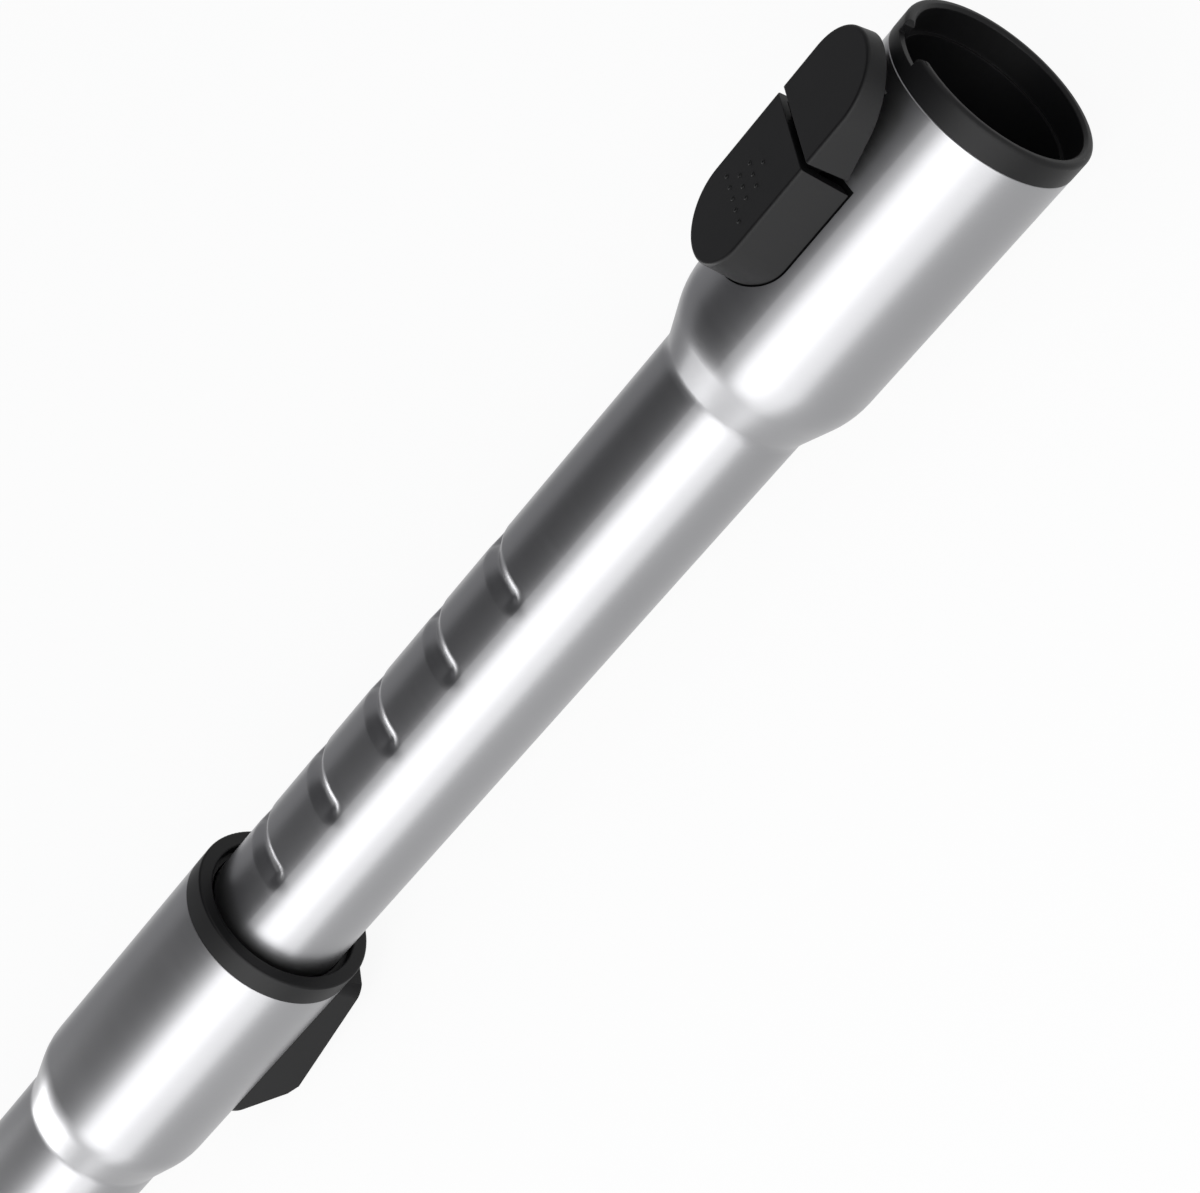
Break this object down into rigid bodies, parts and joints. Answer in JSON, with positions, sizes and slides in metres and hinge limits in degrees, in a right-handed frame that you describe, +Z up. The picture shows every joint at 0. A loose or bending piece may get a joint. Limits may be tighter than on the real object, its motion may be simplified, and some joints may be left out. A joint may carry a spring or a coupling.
{
  "type": "telescopic vacuum cleaner tube",
  "caption": "Telescopic steel suction tube with a thumb release lever, a dented inner tube and a latched socket for the hose handle.",
  "frame": {"origin": "on the tube's axis at the cut end of the plain lower spigot", "axes": "+X along the tube towards the socket, +Z up, towards the latch, as it lies on a floor on its lever and its plain end"},
  "size_m": [0.7938, 0.0412, 0.0542],
  "materials": {
    "brushed_stainless_steel": "fine brushed, satin",
    "bright_spring_steel": "bright drawn",
    "zinc_plated_steel": "zinc plated",
    "black_rubber": "matt",
    "grey_acetal": "smooth moulded",
    "black_abs": "fine matt moulded"
  },
  "bodies": {
    "outer": {"outer_tube": "brushed_stainless_steel", "guide_collar": "black_abs", "dust_wiper": "black_rubber", "lower_guide": "grey_acetal", "lock_spring": "bright_spring_steel", "lever_pin": "bright_spring_steel", "lever_spring": "bright_spring_steel"},
    "inner": {"inner_tube": "brushed_stainless_steel", "socket_liner": "black_abs", "latch_cover": "black_abs", "latch_pin": "bright_spring_steel", "latch_spring": "bright_spring_steel", "end_guide": "grey_acetal", "end_seal": "black_rubber"},
    "button": {"latch_button": "black_abs"},
    "lever": {"release_lever": "black_abs"},
    "lock": {"lock_ring": "zinc_plated_steel"}
  },
  "joints": [
    {"name": "telescope", "type": "slide", "parent": "outer", "child": "inner", "axis": [1, 0, 0], "range_m": [-0.1589, 0.1362]},
    {"name": "latch_press", "type": "hinge", "parent": "inner", "child": "button", "pos_m": [0.7644, 0, 0.0228], "axis": [0, -1, 0], "range_deg": [0, 3], "stiffness_Nm_per_rad": 2, "springref_deg": -1.72, "deforming": ["latch_spring"]},
    {"name": "lever_press", "type": "hinge", "parent": "outer", "child": "lever", "pos_m": [0.53, 0, -0.0198], "axis": [0, 1, 0], "range_deg": [-2.13, 0.82], "stiffness_Nm_per_rad": 12, "deforming": ["lever_spring"]},
    {"name": "lock_slide", "type": "slide", "parent": "outer", "child": "lock", "axis": [0, 0, 1], "range_m": [-0.0013, 0.0005]}
  ],
  "couplings": [
    {"joint": "lever_press", "follows": "lock_slide", "rad_per_m": 28.571}
  ]
}
